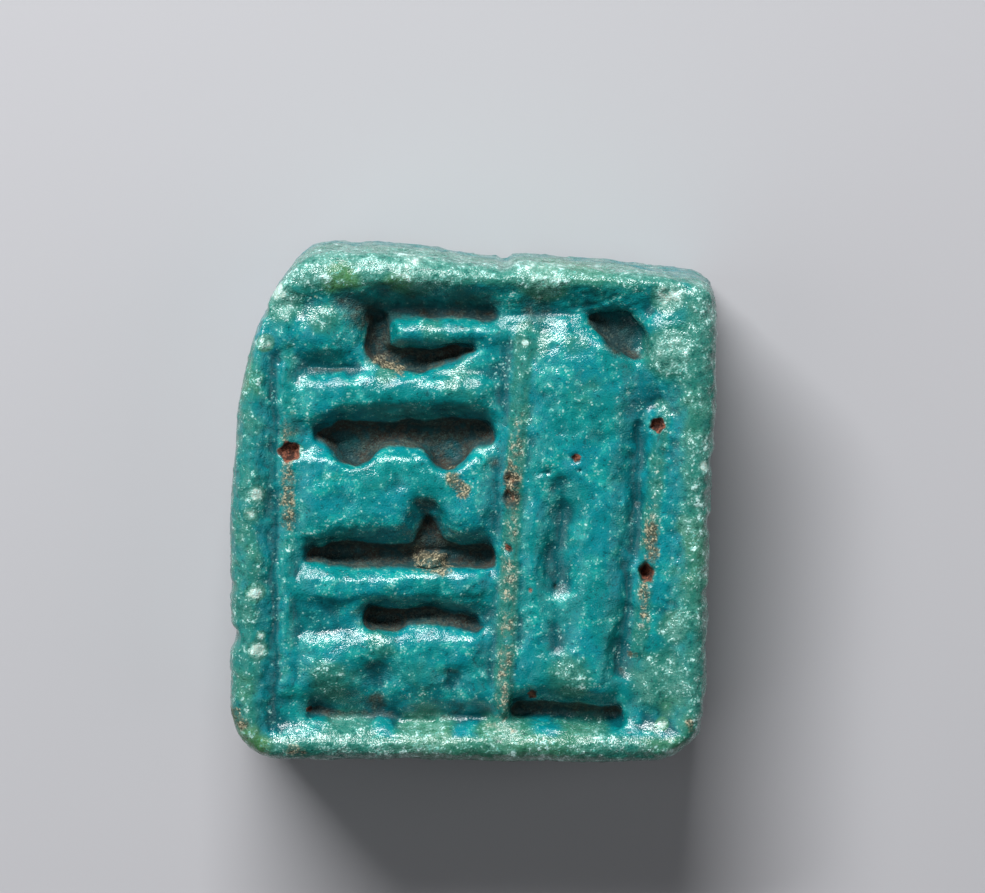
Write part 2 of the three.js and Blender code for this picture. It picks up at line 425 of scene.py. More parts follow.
surface = {
    "voxel": 0.064,
    "smoothing": 0.5,
    "softening": 32,                            # rounds of smoothing everywhere
    "melting": 81,                              # and on the banks that face down the seal
    "meltFacing": (0.0, 0.3),                   # how far up the seal a bank faces, from melted to not
    "meltHeights": (4.15, 4.55),
    "meltSparesRim": 0.6,
    # Clouds that move the surface: their size and how far they move it
    "wander": (1.1, 0.17),
    "lumps": (0.55, 0.07),
    "dimples": (0.24, 0.045),
    "grain": (0.12, 0.022),
    "steadyRim": 0.4,                           # how much less of the wander there is on the rim
    "faceAbove": 3.5,                           # what belongs to the face is higher than this
    "backBelow": 3.3,
    "backKept": 0.1,                            # share of the triangles kept below the face
    "backReach": 0.5,
    "backWorn": 70,                             # percentage of the back's points worn level
    "hollowRounds": 44,
    "hollowReach": 0.25,                        # from level to wholly hollow, both ways
}

# Where the rim gives way to the face, measured from the foot of its inner slope
rimEdge = {
    "past": {"left": 0.2, "right": 0.4, "bottom": 0.15, "top": 0.35},
    "width": 0.5,
    "topWidth": 0.8,
    "rightLean": 0.05,                          # how much the right side leans out as it goes up
    "corner": (2.9, 5.9),                       # the top right corner is cut off from here,
    "cornerSteep": 1.25,                        # falling this fast to the right
    "cornerWidth": 1.0,
    "heights": (3.0, 3.6),
}

print("blank")
seal = makeBlank()
seal.name = "moulded_seal"
combine(seal, makePan(), "DIFFERENCE")
print("raised forms")
raised = [makeLine(*line) for line in relief["lines"]]
raised += [makePillow(*pillow) for pillow in relief["pillows"]]
raised += [makeLump(*lump) for lump in relief["lumps"]]
combine(seal, joinAll(raised), "UNION")
print("strokes")
sunk = [makeCutter(*stroke) for stroke in relief["strokes"]]
sunk += [makeHollow(*hollow) for hollow in relief["hollows"]]
combine(seal, joinAll(sunk), "DIFFERENCE")
print("string hole")
combine(seal, makeHole(), "DIFFERENCE")
print("remesh")
applyModifier(seal, "REMESH", mode="VOXEL", voxel_size=surface["voxel"], use_smooth_shade=True)
applyModifier(seal, "SMOOTH", factor=surface["smoothing"], iterations=surface["softening"])


def readVectors(thing, what):                   # "co" for the places and "normal" for the normals
    flat = np.empty(len(thing.data.vertices) * 3)
    thing.data.vertices.foreach_get(what, flat)
    return flat.reshape(-1, 3)


def movePlaces(thing, places):
    thing.data.vertices.foreach_set("co", places.ravel())
    thing.data.update()


def smoothStep(band, values):                   # 0 below the band, 1 above it and smooth between
    low, high = band
    share = np.clip((values - low) / (high - low), 0, 1)
    return share * share * (3 - 2 * share)


def rimShare(places):                           # 1 on the rim, the sides and the back, 0 on the face
    (xLow, xHigh), (yLow, yHigh) = plaque["panFoot"]
    cornerX, cornerY = rimEdge["corner"]
    past, band = rimEdge["past"], (0, rimEdge["width"])
    x, y, z = places.T
    inside = smoothStep(band, x - xLow + past["left"])
    inside *= smoothStep(band, xHigh + past["right"] + rimEdge["rightLean"] * y - x)
    inside *= smoothStep(band, y - yLow + past["bottom"])
    inside *= smoothStep((0, rimEdge["topWidth"]), yHigh + past["top"] - y)
    below = (cornerY - y) - rimEdge["cornerSteep"] * (x - cornerX)
    inside *= smoothStep((0, rimEdge["cornerWidth"]), below)
    return 1 - inside * smoothStep(rimEdge["heights"], z)


def nearLine(places, start, end, core, reach):  # 1 up to core from the line and 0 from reach on
    start, end = np.array(start), np.array(end)
    run = end - start
    along = np.clip(((places[:, :2] - start) @ run) / (run @ run), 0, 1)
    away = np.linalg.norm(places[:, :2] - start - along[:, None] * run, axis=1)
    return 1 - smoothStep((core, reach), away)


def onLine(places, line):                       # 1 on the crest of a raised line, 0 beside it
    start, end, halfWidth = line[:3]
    isFace = places[:, 2] > surface["faceAbove"]
    return nearLine(places, start, end, 0.5 * halfWidth, 1.5 * halfWidth) * isFace


def onAnyLine(places):
    return np.max([onLine(places, line) for line in relief["lines"]], axis=0)


def markGroup(thing, name, weights):
    group = thing.vertex_groups.new(name=name)
    steps = 12
    levels = np.round(weights * steps).astype(int)
    for level in range(1, steps + 1):
        group.add(np.flatnonzero(levels == level).tolist(), level / steps, "REPLACE")
    return group.name


def displace(thing, name, direction="NORMAL", group="", **settings):
    pattern = bpy.data.textures.new(name, "CLOUDS")
    pattern.noise_scale, strength = surface[name]
    for setting, value in settings.items():
        setattr(pattern, setting, value)
    applyModifier(
        thing,
        "DISPLACE",
        texture=pattern,
        texture_coords="LOCAL",
        direction=direction,
        strength=strength,
        mid_level=0.5,
        vertex_group=group,
    )


# The banks that face down the seal are worn softer than the lips that face up it
def meltedShare(thing):
    places = readVectors(thing, "co")
    share = 1 - smoothStep(surface["meltFacing"], readVectors(thing, "normal")[:, 1])
    share *= (1 - onAnyLine(places)) * (1 - surface["meltSparesRim"] * rimShare(places))
    return share * smoothStep(surface["meltHeights"], places[:, 2])


print("surface")
melted = markGroup(seal, "melted", meltedShare(seal))
applyModifier(
    seal, "SMOOTH", factor=surface["smoothing"], iterations=surface["melting"], vertex_group=melted
)
softPlaces = readVectors(seal, "co")
onRim = rimShare(softPlaces)
unsteady = markGroup(seal, "unsteady", 1 - surface["steadyRim"] * onRim)
rough = markGroup(seal, "rough", np.maximum(onRim, onAnyLine(softPlaces)))
displace(seal, "wander", "RGB_TO_XYZ", unsteady, cloud_type="COLOR")
displace(seal, "lumps", noise_depth=1)
displace(seal, "dimples", noise_depth=1)
displace(seal, "grain", group=rough, noise_depth=0)

# What firing, wear and the ground left on the face, and painted shade on the strokes' banks:
# shapes pressed here, and colours that the material reads as attributes

marks = {
    "patchCore": 0.25,                          # share of a patch's radius that is at full strength
    "fadesDown": (3.3, 4.3),                    # heights at which the face's marks fade into the sides
    # How pale and frosted the rim is on each side, on its crest and down the sides, hidden in the photo;
    # the top edge and side are paler, partly frost and partly painted light on the side that faces the
    # lamp
    "rimPale": {"left": 0.42, "right": 0.58, "crest": 0.6, "top": 0.66, "bottom": 0.58, "hidden": 0.32},
    # Where each of them gives way to the next, across the face, up it or above the back
    "rimBands": {
        "left": (-5.4, -4.6),
        "leftEnds": (3.5, 5.0),
        "right": (4.4, 5.4),
        "rightEnds": (4.2, 5.2),
        "top": (5.6, 5.95),
        "bottom": (-5.6, -4.9),
        "hidden": (3.4, 4.4),
        "topSide": (5.7, 6.0),
    },
    "topSideLower": 1.8,                        # how much further down the top side stays pale
    # The rim's inner slope is less pale: how much less, and where
    "slopeDull": 0.75,
    "slopeHeights": (4.68, 5.0),
    "slopeWidth": 0.3,
    "slopePast": 0.1,
    # Pale, frosted paste: middle, radius and strength
    "palePatches": [
        ((-3.75, 4.75), 0.7, 0.55), ((-4.8, 5.2), 0.8, 0.75), ((-1.0, 4.45), 0.7, 0.4),
        ((-0.3, 3.15), 0.9, 0.4), ((1.6, 4.2), 0.7, 0.45), ((2.6, 4.15), 0.6, 0.4),
        ((2.9, 3.0), 1.1, 0.3), ((2.4, -4.3), 1.0, 0.55), ((-3.6, -4.4), 1.1, 0.5),
        ((-1.3, -4.3), 0.9, 0.35), ((-2.3, -3.4), 0.8, 0.4), ((-2.4, 0.4), 0.9, 0.25),
        ((4.95, 4.0), 1.1, 0.8), ((4.8, -4.4), 1.4, 0.6), ((5.1, -3.0), 0.7, 0.7),
        ((3.2, -1.0), 0.9, 0.2), ((-5.45, 0.4), 0.34, 1.0), ((-5.6, -0.1), 0.3, 0.9),
        ((-5.44, -3.56), 0.42, 1.0), ((-5.35, -3.2), 0.2, 0.95), ((-5.5, -2.1), 0.4, 0.97),
        ((5.8, 1.1), 0.3, 1.0), ((5.4, -0.4), 0.5, 0.7), ((1.31, 4.2), 0.22, 0.9),
        ((4.78, -5.48), 0.25, 1.0), ((-2.2, 3.4), 0.45, 0.6), ((-0.55, 0.8), 0.35, 0.5),
        ((-4.4, 1.5), 0.2, 0.9), ((-3.2, -5.85), 1.2, 0.62), ((-1.2, -5.85), 1.2, 0.7),
        ((0.8, -5.85), 1.2, 0.66), ((2.8, -5.85), 1.2, 0.6), ((-4.9, 5.5), 0.6, 0.95),
        ((-5.2, 4.2), 0.35, 0.95), ((-1.5, 6.15), 1.2, 0.84), ((1.8, 6.0), 1.2, 0.84),
        ((4.9, 5.4), 0.7, 0.9),
    ],
    # Green and yellow-green tint in the paste: middle, radius and strength
    "greenPatches": [
        ((-3.3, 5.75), 0.8, 1.0), ((-1.9, 5.6), 0.7, 0.8), ((-5.3, 3.4), 1.3, 0.6),
        ((-5.7, -4.5), 0.9, 0.5), ((-5.6, -6.0), 0.8, 1.0), ((2.5, 5.5), 2.4, 0.5),
        ((5.4, 2.5), 1.6, 0.4), ((-3.5, 4.3), 0.5, 0.5), ((5.5, -1.6), 2.6, 0.45),
        ((4.9, -5.6), 1.3, 0.6), ((-5.75, -1.5), 2.4, 0.35), ((0.5, -6.3), 5.0, 0.5),
    ],
    "sideGreen": 0.35,
    # Worn crests where the sandy paste shows: two ends, half width and strength
    "gritLines": [
        ((1.14, 2.3), (1.02, 1.0), 0.25, 0.62), ((1.0, 1.0), (0.96, 0.0), 0.26, 0.85),
        ((0.96, -0.2), (0.88, -2.3), 0.24, 0.62), ((0.88, -2.6), (0.74, -5.3), 0.24, 0.66),
        ((-4.66, 2.3), (-4.66, 0.9), 0.22, 0.6), ((-4.66, 0.9), (-4.66, -0.4), 0.24, 0.8),
        ((4.5, 0.2), (4.3, -3.0), 0.2, 0.5), ((4.65, 1.6), (4.6, 0.4), 0.16, 0.4),
        ((4.5, -0.5), (4.5, -1.2), 0.22, 0.95), ((4.32, -2.0), (4.3, -2.7), 0.16, 0.85),
        ((-2.3, 3.75), (-1.85, 3.48), 0.22, 0.8), ((-0.5, 0.8), (-0.25, 0.45), 0.22, 1.0),
        ((-1.34, -1.3), (-0.76, -1.44), 0.3, 1.0), ((-0.6, -1.55), (-0.3, -1.6), 0.12, 0.4),
        ((2.3, -0.3), (2.5, -1.0), 0.12, 0.4), ((0.4, -5.5), (1.0, -5.6), 0.2, 0.55),
        ((-6.0, -5.2), (-5.85, -5.45), 0.22, 0.9), ((-4.6, -6.1), (-4.3, -6.15), 0.18, 0.8),
        ((-4.0, 5.35), (-3.9, 5.4), 0.12, 0.45), ((-4.9, 5.0), (-4.8, 5.1), 0.12, 0.4),
        ((3.95, -3.7), (4.1, -3.75), 0.1, 0.95), ((5.45, -5.4), (5.5, -5.6), 0.12, 0.8),
        ((5.15, 3.2), (5.2, 3.0), 0.12, 0.45),
    ],
    "gritCore": 0.3,                            # in half widths, where it thins out and where it ends
    "gritReach": 1.7,
    # Burst bubbles with rusty walls: middle, radius across and up, depth and strength
    "pits": [
        ((-4.62, 1.45), 0.29, 0.31, 0.2, 1.0), ((4.65, 2.12), 0.21, 0.22, 0.24, 0.9),
        ((4.4, -1.65), 0.2, 0.33, 0.42, 0.6), ((0.95, 0.75), 0.16, 0.14, 0.14, 0.35),
        ((0.94, 0.3), 0.17, 0.22, 0.16, 0.35), ((2.6, 1.3), 0.14, 0.15, 0.1, 0.7),
        ((1.5, -4.75), 0.16, 0.17, 0.1, 0.6), ((1.45, -2.05), 0.09, 0.08, 0.06, 0.5),
        ((-4.15, -5.15), 0.09, 0.09, 0.05, 0.9), ((2.1, -2.0), 0.07, 0.09, 0.1, 0.3),
        ((2.65, -3.75), 0.08, 0.09, 0.08, 0.2), ((3.75, 0.22), 0.09, 0.09, 0.08, 0.1),
        ((0.9, -1.0), 0.12, 0.14, 0.12, 0.6), ((2.72, 1.0), 0.09, 0.09, 0.08, 0.15),
    ],
    # In radii: from the pit's floor to its edge, and from full rust to none
    "pitWall": (0.35, 1.0),
    "pitRust": (0.5, 1.2),
    "ragged": ((2, 0.07), (5, 0.1)),            # a pit's edge: waves round it and how high they are
    "raggedTurn": 7,                            # how far the waves turn from pit to pit
    # Sand left lying in a stroke: middle, radius across and up, and height of its top
    "mounds": [((-1.06, -1.42), 0.7, 0.42, 4.56)],
    "moundSlope": (0.2, 1.0),
    # Chips and dents in the edge: middle, radius and how deep the edge is pushed in
    "chips": [
        ((-6.2, -3.3), 0.4, 0.16), ((-6.2, -2.0), 0.3, 0.06), ((6.1, -2.2), 0.35, 0.08),
        ((6.15, -0.4), 0.35, 0.08), ((6.1, -3.6), 0.3, 0.07), ((6.1, -5.0), 0.35, 0.08),
        ((6.2, 1.2), 0.3, 0.06), ((0.82, 6.2), 0.25, 0.08), ((-5.3, 5.0), 0.3, 0.06),
        ((-3.0, 6.55), 0.3, 0.04),
    ],
    # Earth, stain and painted shade outside the strokes: middle, radius and strength
    "earthAndShadePatches": [
        ((-2.8, 4.95), 0.8, 0.48), ((-3.2, 5.25), 0.6, 0.42), ((-1.6, 5.2), 0.7, 0.42),
        ((-0.2, 5.15), 0.8, 0.4), ((1.6, 5.05), 0.7, 0.42), ((-2.5, 3.9), 0.5, 0.4),
        ((-4.6, 2.1), 0.5, 0.4), ((-1.1, 0.2), 0.35, 0.3), ((0.5, 1.2), 0.3, 0.35),
        ((-2.9, -2.75), 0.5, 0.32), ((0.96, 0.75), 0.36, 0.8), ((0.95, 0.25), 0.4, 0.8),
        ((3.7, 4.3), 0.7, 0.75), ((-2.45, -5.0), 0.5, 0.5), ((-0.45, -5.1), 0.45, 0.42),
        ((-1.1, -0.6), 0.6, 0.6),
    ],
    # Heights at which earth starts to lie in the strokes and covers them, how much higher it is
    # painted up the banks that face up the seal as painted shade, and how much lower it stays on the
    # opposite ones
    "earthFrom": 4.45,
    "earthFull": 4.0,
    "shadeClings": 0.28,
    "earthStays": 0.2,
    "bankFacing": (0.0, 0.5),
    "earthWorn": 0.35,                          # how much is gone from the banks that face up most
    "wornFacing": (0.1, 0.45),
    "holeEarth": 0.9,
    "holeReach": (0.9, 1.3),
    "holeEnds": 6.05,
}


def nearPoint(places, middle, radius):          # 1 at the middle and 0 from the radius on
    away = np.hypot(places[:, 0] - middle[0], places[:, 1] - middle[1])
    return 1 - smoothStep((marks["patchCore"] * radius, radius), away)


def inPit(places, middle, across, up):          # 0 in the middle of the pit and 1 at its ragged edge
    x, y, z = places.T
    right, above = (x - middle[0]) / across, (y - middle[1]) / up
    turn = np.arctan2(above, right) + marks["raggedTurn"] * middle[0]
    wave = sum(height * np.sin(count * turn) for count, height in marks["ragged"])
    return np.where(z > surface["faceAbove"], np.hypot(right, above) * (1 + wave), np.inf)


def pressMarks(thing):
    places = readVectors(thing, "co")
    for middle, across, up, depth, _ in marks["pits"]:
        places[:, 2] -= depth * (1 - smoothStep(marks["pitWall"], inPit(places, middle, across, up)))
    for middle, across, up, top in marks["mounds"]:
        down = smoothStep(marks["moundSlope"], inPit(places, middle, across, up))
        places[:, 2] = np.maximum(places[:, 2], (top - down) * (down < 1))
    for middle, radius, depth in marks["chips"]:
        inward = -np.array(middle) / np.linalg.norm(middle)
        places[:, :2] += depth * nearPoint(places, middle, radius)[:, None] * inward
    movePlaces(thing, places)


def thinTheBack(thing):                         # the plain back and sides need fewer triangles
    makeActive(thing)
    bpy.ops.object.mode_set(mode="EDIT")
    bpy.ops.mesh.select_mode(type="VERT")
    bpy.ops.mesh.select_all(action="DESELECT")
    bpy.ops.object.mode_set(mode="OBJECT")
    below = readVectors(thing, "co")[:, 2] < surface["backBelow"]
    thing.data.vertices.foreach_set("select", below)
    bpy.ops.object.mode_set(mode="EDIT")
    bpy.ops.mesh.decimate(ratio=surface["backKept"])
    bpy.ops.object.mode_set(mode="OBJECT")


def fitToBox(thing, box):                       # box in millimetres; the back is worn flat where it rests
    places = readVectors(thing, "co")
    low, high = (np.array(corner) for corner in box)
    back = places[places[:, 2] < surface["backReach"], 2]
    places[:, 2] = np.maximum(places[:, 2] - np.percentile(back, surface["backWorn"]), 0)
    ownLow, ownHigh = places.min(axis=0), places.max(axis=0)
    places = low + (places - ownLow) * (high - low) / (ownHigh - ownLow)
    movePlaces(thing, places)


def spread(values, edges, rounds):              # each point takes on the mean of its neighbours
    count = len(values)
    first, second = edges.T
    neighbours = np.bincount(edges.ravel(), minlength=count)
    for _ in range(rounds):
        total = np.bincount(first, values[second], count) + np.bincount(second, values[first], count)
        values = total / neighbours
    return values


def hollowness(thing):                          # how far a point lies below the mean of those around it
    places = readVectors(thing, "co")
    edges = np.empty(len(thing.data.edges) * 2, int)
    thing.data.edges.foreach_get("vertices", edges)
    edges = edges.reshape(-1, 2)
    around = np.stack([spread(column, edges, surface["hollowRounds"]) for column in places.T], axis=1)
    return ((around - places) * readVectors(thing, "normal")).sum(axis=1)


def rimPaleness(places):
    x, y, z = places.T
    sides, bands = marks["rimPale"], marks["rimBands"]
    left = (1 - smoothStep(bands["left"], x)) * (1 - smoothStep(bands["leftEnds"], y))
    right = smoothStep(bands["right"], x) * (1 - smoothStep(bands["rightEnds"], y))
    bottom = 1 - smoothStep(bands["bottom"], y)
    # the top is paler: frost, and painted light where it faces the lamp
    pale = sides["crest"] + (sides["top"] - sides["crest"]) * smoothStep(bands["top"], y)
    for share, name in ((left, "left"), (right, "right"), (bottom, "bottom")):
        pale += (sides[name] - pale) * share
    # the top side stays pale further down: painted light on the side that faces the lamp, with frost
    lower = marks["topSideLower"] * smoothStep(bands["topSide"], y)
    hidden = 1 - smoothStep(bands["hidden"], z + lower)
    return pale + (sides["hidden"] - pale) * hidden


def slopeShare(places):                         # 1 on the rim's inner slope and on the face
    (_, xHigh), (yLow, yHigh) = plaque["panMouth"]
    x, y, z = places.T
    width = marks["slopeWidth"]
    share = 1 - smoothStep((xHigh - width, xHigh + marks["slopePast"]), np.abs(x))
    share *= smoothStep((yLow, yLow + width), y) * (1 - smoothStep((yHigh - width, yHigh), y))
    return share * (1 - smoothStep(marks["slopeHeights"], z))


def layPatches(values, places, patches, where):
    for middle, radius, strength in patches:
        values = np.maximum(values, strength * nearPoint(places, middle, radius) * where)
    return values


def paleness(places, rim, onFace):
    pale = rim * rimPaleness(places) * (1 - marks["slopeDull"] * slopeShare(places))
    pale = layPatches(pale, places, marks["palePatches"], onFace)
    for line in relief["lines"]:
        pale = np.maximum(pale, line[-1] * onLine(places, line))
    return pale


def grittiness(places, onFace):
    grit = np.zeros(len(places))
    for start, end, halfWidth, strength in marks["gritLines"]:
        core, reach = marks["gritCore"] * halfWidth, marks["gritReach"] * halfWidth
        grit = np.maximum(grit, strength * nearLine(places, start, end, core, reach) * onFace)
    return grit


def rustiness(places):
    rust = np.zeros(len(places))
    for middle, across, up, _, strength in marks["pits"]:
        share = 1 - smoothStep(marks["pitRust"], inPit(places, middle, across, up))
        rust = np.maximum(rust, strength * share)
    return rust


# Earth lying in the strokes, and painted shade: higher up the banks that face up the seal, and in some of
# the patches
def earthAndShadeAmount(places, facingUp, rim, onFace):
    x, y, z = places.T
    start = marks["earthFrom"] + marks["shadeClings"] * smoothStep(marks["bankFacing"], facingUp)
    start -= marks["earthStays"] * smoothStep(marks["bankFacing"], -facingUp)
    earthAndShade = smoothStep((0, 1), (start - z) / (start - marks["earthFull"])) * (1 - rim) * onFace
    earthAndShade = np.minimum(earthAndShade, 1 - marks["earthWorn"] * smoothStep(marks["wornFacing"], facingUp))
    earthAndShade = layPatches(earthAndShade, places, marks["earthAndShadePatches"], onFace)
    holeUp, holeAbove = stringHole["at"]
    inHole = 1 - smoothStep(marks["holeReach"], np.hypot(y - holeUp, z - holeAbove))
    return np.maximum(earthAndShade, marks["holeEarth"] * inHole * (np.abs(x) < marks["holeEnds"]))


def paintMarks(thing):
    places = readVectors(thing, "co")
    rim = rimShare(places)
    onFace = smoothStep(marks["fadesDown"], places[:, 2])
    facingUp = readVectors(thing, "normal")[:, 1]
    sides = marks["sideGreen"] * (1 - onFace)
    painted = {
        "pale": paleness(places, rim, onFace),
        "green": layPatches(sides, places, marks["greenPatches"], rim),
        "grit": grittiness(places, onFace),
        "rust": rustiness(places),
        # earth, with painted shade on the banks and beside the strokes
        "earthAndShade": earthAndShadeAmount(places, facingUp, rim, onFace),
        "hollow": 0.5 + hollowness(thing) / surface["hollowReach"] * onFace,
    }
    for name, values in painted.items():
        attribute = thing.data.attributes.new(name, "FLOAT", "POINT")
        attribute.data.foreach_set("value", np.clip(values, 0, 1).astype(np.float32))
    return list(painted)


print("marks")
pressMarks(seal)
thinTheBack(seal)
fitToBox(seal, [[value / mm for value in corner] for corner in cadBox])
markNames = paintMarks(seal)
seal.data.transform(Matrix.Scale(mm, 4))
seal.data.update()
print("triangles", sum(len(face.vertices) - 2 for face in seal.data.polygons))


# The finish

def toLinear(code):
    values = [int(code[i:i + 2], 16) / 255 for i in (1, 3, 5)]
    return [*(v / 12.92 if v <= 0.04045 else ((v + 0.055) / 1.055) ** 2.4 for v in values), 1.0]


# An input is a number, a colour code or another node's output
def addNode(tree, kind, inputs, output=0, **settings):
    node = tree.nodes.new("ShaderNode" + kind)
    for name, value in settings.items():
        setattr(node, name, value)
    for name, value in (inputs if isinstance(inputs, dict) else dict(enumerate(inputs))).items():
        if isinstance(value, bpy.types.NodeSocket):
            tree.links.new(value, node.inputs[name])
        else:
            node.inputs[name].default_value = toLinear(value) if isinstance(value, str) else value
    return node.outputs[output]


# Egyptian faience: crushed quartz paste pressed in a mould, with a copper-blue alkaline glaze that
# came out of the paste in firing. It gives the eye a glassy turquoise that is deep where it
# pooled and in painted shade in the hollows, thin and frosted where the quartz grains come
# through, with glints from the grains, some of them painted white into the colour.
faienceLook = {
    "colours": {
        "glaze": "#037d7d",
        "glazeBlue": "#038089",
        "glazeBright": "#079a95",
        "milk": "#47a597",
        # deep glaze where it pooled in the hollows, and painted shade there
        "pooledAndShaded": "#044d55",
        "paste": "#24776a",
        "pasteGreen": "#477f4e",
        "mist": "#7eb4a6",
        "chalk": "#c6ddd0",
        # faint specks of quartz, and painted glints, most on the lips
        "dustAndGlints": "#5cc0b5",
        # white quartz grains and painted glints
        "quartzAndGlints": "#ccf5ef",
        "void": "#053f42",
        # painted shade: the dark edge of the earth, up the banks
        "shadedEarthEdge": "#0b2b2d",
        # the deepest earth, lighter: painted light in the shaded floors of the strokes
        "earthAndShade": "#12686b",
        "earthRed": "#3d2a1a",
        "silt": "#40605b",
        "sand": "#c3b594",
        "sandDark": "#454230",
        "rust": "#8a5440",
        "rustDark": "#33190f",
    },
    # Noise patterns: size in millimetres and how many finer layers each has
    "patterns": {
        "blotch": (1.3, 2.0),
        "cloud": (0.5, 3.0),
        "mottle": (0.17, 3.0),
        "speck": (0.045, 1.0),                  # the finest dust, drawn as coarse as it needs to show
    },
    "grain": 0.042,                             # crushed quartz in the paste, from one grain to the next
    # Fields add up marks, patterns, earlier fields and each grain's own tone and shine. The two
    # numbers after them are the sums at which a field starts and is full, and the last is how full
    "fields": {
        "paste": ({"pale": 1.0, "cloud": 0.6}, 0.45, 0.85, 1.0),
        "mist": ({"pale": 0.5, "cloud": 0.4, "mottle": 0.4, "tone": 0.12}, 0.66, 1.02, 0.85),
        "chalk": ({"pale": 1.0, "mottle": 0.7, "cloud": 0.5}, 1.42, 1.58, 0.8),
        # specks of quartz, and painted glints gathered on the convex lips
        "dustAndGlints": (
            {"tone": 1.0, "mist": 0.3, "hollow": -0.18, "mottle": 1.2, "cloud": 0.9}, 1.86, 2.08, 0.5,
        ),
        # white quartz and painted glints, ragged, gathered on the convex lips
        "quartzAndGlints": (
            {"mottle": 1.0, "mist": 0.18, "hollow": -0.108, "cloud": 0.4, "tone": 0.06}, 0.92, 0.99, 0.8,
        ),
        # which specks take the painted white glint
        "whiteGlintShare": ({"shine": 1.0}, 0.2, 1.0, 1.0),
        "tinted": ({"green": 0.8, "blotch": 0.4}, 0.35, 1.0, 1.0),
        "blue": ({"blotch": 1.0}, 0.4, 0.6, 1.0),
        "bright": ({"cloud": 0.7, "mottle": 0.3}, 0.45, 0.65, 1.0),
        "milky": ({"mottle": 0.6, "cloud": 0.3, "tone": 0.12}, 0.52, 0.7, 0.38),
        # pooled glaze and painted shade in the hollows
        "poolAndShade": ({"hollow": 1.0, "cloud": 0.3}, 0.62, 0.88, 0.9),
        "voids": ({"mottle": -1.0, "tone": -0.25, "cloud": -0.3}, -0.62, -0.5, 0.55),
        # where earth and the painted shade lie
        "earthAndShadeCover": ({"earthAndShade": 1.0, "cloud": 0.6, "mottle": 0.3}, 0.6, 1.1, 0.92),
        # from the painted shade at the earth's edge to the painted light in its deepest floors
        "edgeShadeToFloorLight": ({"earthAndShade": 1.0, "mottle": 0.5, "tone": 0.1}, 1.05, 1.4, 1.0),
        "redEarth": ({"blotch": 0.4, "cloud": 0.4, "mottle": 0.6, "tone": 0.12}, 0.68, 0.84, 0.85),
        "silty": ({"tone": 0.5, "mottle": 1.0, "cloud": 0.4}, 0.92, 1.2, 0.42),
        "sandy": ({"grit": 1.0, "cloud": 0.8, "mottle": 1.2, "tone": 0.15}, 1.55, 2.1, 0.9),
        "sandPale": ({"tone": 1.0, "mottle": 0.8, "cloud": 0.4}, 1.15, 1.6, 0.82),
        "rusty": ({"rust": 1.0, "mottle": 0.5}, 0.5, 0.85, 1.0),
        "rustPale": ({"mottle": 0.7, "speck": 0.3}, 0.42, 0.6, 1.0),
        "patchy": ({"cloud": 0.6, "mottle": 0.4}, 0.4, 0.6, 0.6),
    },
    # Colours mixed in turn: the new one, its field, and the colours where that is 0 and where it
    # is 1. What lies on the face is mixed first, and then the finish from the glaze up.
    "mixes": [
        # earth in the strokes: painted shade at its edges, and painted light in its deepest, shaded
        # floors
        ("soilAndShade", "edgeShadeToFloorLight", "shadedEarthEdge", "earthAndShade"),
        ("soilAndShade", "redEarth", "soilAndShade", "earthRed"),
        ("soilAndShade", "silty", "soilAndShade", "silt"),
        ("grit", "sandPale", "sandDark", "sand"),
        # specks: faint quartz, or white painted glints
        ("specksAndGlints", "whiteGlintShare", "dustAndGlints", "quartzAndGlints"),
        ("oxide", "rustPale", "rustDark", "rust"),
        ("finish", "blue", "glaze", "glazeBlue"),
        ("finish", "bright", "finish", "glazeBright"),
        ("finish", "milky", "finish", "milk"),
        # hollows darker: pooled glaze and painted shade
        ("finish", "poolAndShade", "finish", "pooledAndShaded"),
        ("finish", "paste", "finish", "paste"),
        ("finish", "tinted", "finish", "pasteGreen"),
        ("finish", "voids", "finish", "void"),
        ("finish", "mist", "finish", "mist"),
        ("finish", "chalk", "finish", "chalk"),
        # quartz specks and painted glints, most on the lips
        ("finish", "dustAndGlints", "finish", "specksAndGlints"),
        ("finish", "quartzAndGlints", "finish", "quartzAndGlints"),
        # earth, with the painted shade and light laid with it
        ("finish", "earthAndShadeCover", "finish", "soilAndShade"),
        ("finish", "sandy", "finish", "grit"),
        ("finish", "rusty", "finish", "oxide"),
    ],
    "roughness": (0.25, 0.4),                   # from clear glaze to frost
    "roughnessOfEarth": 0.65,                   # added to it
    "dullFrom": 0.6,                            # share of earth, sand or rust that takes all the gloss
    "glossLeast": 0.15,
    "glossRoughness": 0.09,
    "ior": 1.47,
    "glow": 0.12,                               # light that comes back from inside the paste
    "glowReach": 0.3,
    "glowColours": (0.3, 1.0, 0.95),
    "reliefOfMottles": 1.2,
    "reliefOfGrains": -0.5,
    "reliefHeight": 0.035,
    "reliefStrength": (0.35, 0.75),             # from clear glaze to frost, earth and sand
    "ruggedFrom": 0.8,
    "facets": 0.22,                             # how far a grain's facet is turned from the surface
}


